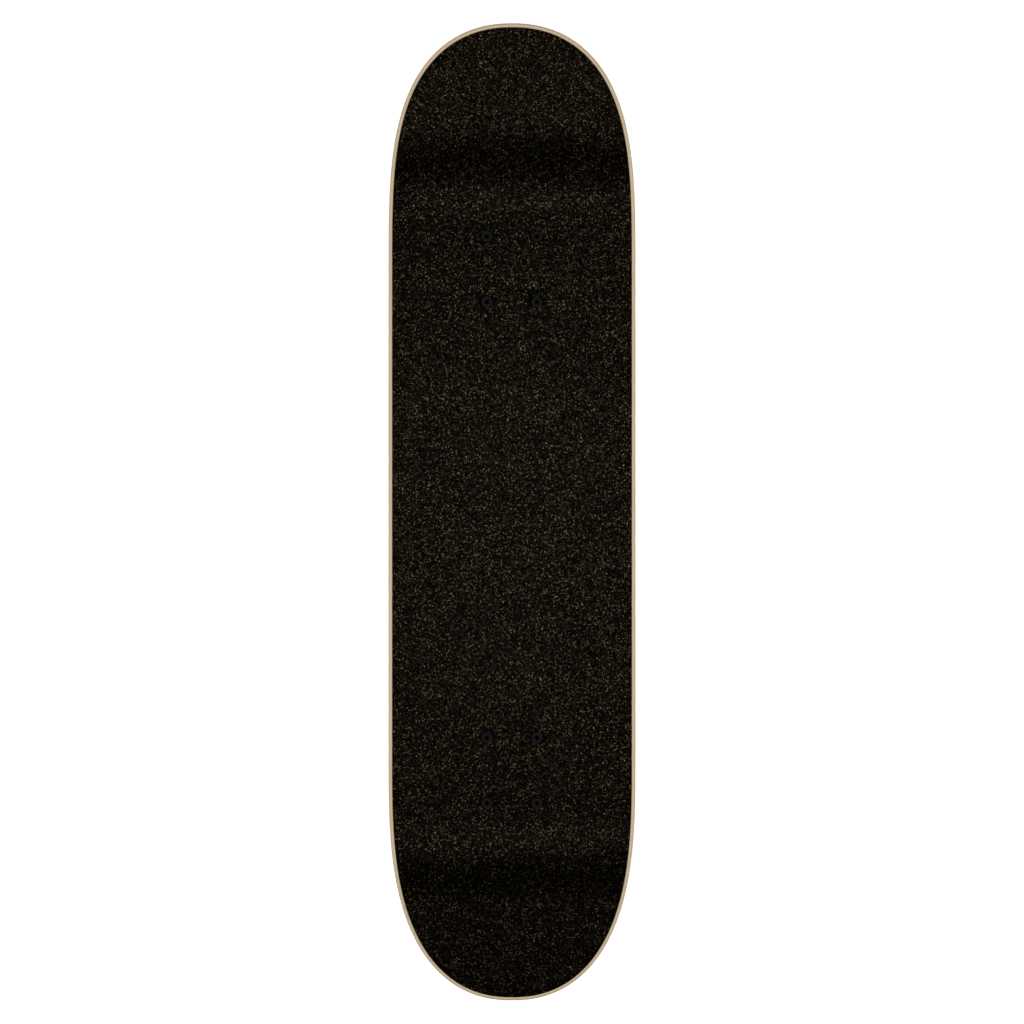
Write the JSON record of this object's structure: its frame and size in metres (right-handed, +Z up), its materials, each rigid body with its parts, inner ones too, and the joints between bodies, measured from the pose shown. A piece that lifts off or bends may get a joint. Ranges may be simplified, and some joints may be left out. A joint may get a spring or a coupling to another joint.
{
  "type": "skateboard",
  "caption": "Complete street skateboard: popsicle-shaped maple deck with concave, upturned nose and tail, black grip tape, kingpin trucks that steer and free-rolling urethane wheels.",
  "frame": {"origin": "on the ground, under the middle of the deck's overall length and width", "axes": "+X along the deck towards the nose, +Y to the left of a rider who faces the nose, +Z up from the ground"},
  "size_m": [0.8, 0.2032, 0.1353],
  "materials": {
    "maple": "satin",
    "grip": "matte",
    "cast_aluminium": "satin",
    "plated_steel": "satin",
    "black_steel": "satin",
    "bearing_steel": "gloss",
    "wheel_urethane": "satin",
    "bushing_urethane": "satin",
    "cup_urethane": "matte",
    "cage_nylon": "matte"
  },
  "bodies": {
    "board": {"deck": "maple", "grip_tape": "grip", "front_baseplate": "cast_aluminium", "front_pivot_cup": "cup_urethane", "front_kingpin": "plated_steel", "front_kingpin_nut": "plated_steel", "front_bottom_washer": "plated_steel", "front_bottom_bushing": "bushing_urethane", "front_top_bushing": "bushing_urethane", "front_top_washer": "plated_steel", "front_mounting_bolts": "black_steel", "front_mounting_nuts": "black_steel", "rear_baseplate": "cast_aluminium", "rear_pivot_cup": "cup_urethane", "rear_kingpin": "plated_steel", "rear_kingpin_nut": "plated_steel", "rear_bottom_washer": "plated_steel", "rear_bottom_bushing": "bushing_urethane", "rear_top_bushing": "bushing_urethane", "rear_top_washer": "plated_steel", "rear_mounting_bolts": "black_steel", "rear_mounting_nuts": "black_steel"},
    "front_left_wheel": {"front_left_wheel": "wheel_urethane", "front_left_outer_rings": "bearing_steel", "front_left_shields": "plated_steel"},
    "front_left_ball_cages": {"front_left_balls": "bearing_steel", "front_left_cages": "cage_nylon"},
    "front_right_wheel": {"front_right_wheel": "wheel_urethane", "front_right_outer_rings": "bearing_steel", "front_right_shields": "plated_steel"},
    "front_right_ball_cages": {"front_right_balls": "bearing_steel", "front_right_cages": "cage_nylon"},
    "front_truck": {"front_hanger": "cast_aluminium", "front_axle": "plated_steel", "front_axle_nuts": "plated_steel", "front_speed_washers": "plated_steel", "front_left_inner_rings": "bearing_steel", "front_left_spacer": "plated_steel", "front_right_inner_rings": "bearing_steel", "front_right_spacer": "plated_steel"},
    "rear_left_wheel": {"rear_left_wheel": "wheel_urethane", "rear_left_outer_rings": "bearing_steel", "rear_left_shields": "plated_steel"},
    "rear_left_ball_cages": {"rear_left_balls": "bearing_steel", "rear_left_cages": "cage_nylon"},
    "rear_right_wheel": {"rear_right_wheel": "wheel_urethane", "rear_right_outer_rings": "bearing_steel", "rear_right_shields": "plated_steel"},
    "rear_right_ball_cages": {"rear_right_balls": "bearing_steel", "rear_right_cages": "cage_nylon"},
    "rear_truck": {"rear_hanger": "cast_aluminium", "rear_axle": "plated_steel", "rear_axle_nuts": "plated_steel", "rear_speed_washers": "plated_steel", "rear_left_inner_rings": "bearing_steel", "rear_left_spacer": "plated_steel", "rear_right_inner_rings": "bearing_steel", "rear_right_spacer": "plated_steel"}
  },
  "joints": [
    {"name": "front_truck_steer", "type": "hinge", "parent": "board", "child": "front_truck", "pos_m": [0.22681, 0, 0.0625], "axis": [-0.9162, 0, -0.4008], "range_deg": [-15, 15], "stiffness_Nm_per_rad": 40, "deforming": ["front_bottom_bushing", "front_top_bushing"]},
    {"name": "front_left_wheel_spin", "type": "hinge", "parent": "front_truck", "child": "front_left_wheel", "pos_m": [0.20481, 0.0775, 0.026], "axis": [0, 1, 0], "continuous": true},
    {"name": "front_left_cage_spin", "type": "hinge", "parent": "front_truck", "child": "front_left_ball_cages", "pos_m": [0.20481, 0.0775, 0.026], "axis": [0, 1, 0], "continuous": true},
    {"name": "front_right_wheel_spin", "type": "hinge", "parent": "front_truck", "child": "front_right_wheel", "pos_m": [0.20481, -0.0775, 0.026], "axis": [0, 1, 0], "continuous": true},
    {"name": "front_right_cage_spin", "type": "hinge", "parent": "front_truck", "child": "front_right_ball_cages", "pos_m": [0.20481, -0.0775, 0.026], "axis": [0, 1, 0], "continuous": true},
    {"name": "rear_truck_steer", "type": "hinge", "parent": "board", "child": "rear_truck", "pos_m": [-0.23997, 0, 0.0625], "axis": [0.9162, 0, -0.4008], "range_deg": [-15, 15], "stiffness_Nm_per_rad": 40, "deforming": ["rear_bottom_bushing", "rear_top_bushing"]},
    {"name": "rear_left_wheel_spin", "type": "hinge", "parent": "rear_truck", "child": "rear_left_wheel", "pos_m": [-0.21797, 0.0775, 0.026], "axis": [0, 1, 0], "continuous": true},
    {"name": "rear_left_cage_spin", "type": "hinge", "parent": "rear_truck", "child": "rear_left_ball_cages", "pos_m": [-0.21797, 0.0775, 0.026], "axis": [0, 1, 0], "continuous": true},
    {"name": "rear_right_wheel_spin", "type": "hinge", "parent": "rear_truck", "child": "rear_right_wheel", "pos_m": [-0.21797, -0.0775, 0.026], "axis": [0, 1, 0], "continuous": true},
    {"name": "rear_right_cage_spin", "type": "hinge", "parent": "rear_truck", "child": "rear_right_ball_cages", "pos_m": [-0.21797, -0.0775, 0.026], "axis": [0, 1, 0], "continuous": true}
  ],
  "couplings": [
    {"joint": "front_left_cage_spin", "follows": "front_left_wheel_spin", "ratio": 0.6323},
    {"joint": "front_right_cage_spin", "follows": "front_right_wheel_spin", "ratio": 0.6323},
    {"joint": "rear_left_cage_spin", "follows": "rear_left_wheel_spin", "ratio": 0.6323},
    {"joint": "rear_right_cage_spin", "follows": "rear_right_wheel_spin", "ratio": 0.6323}
  ]
}
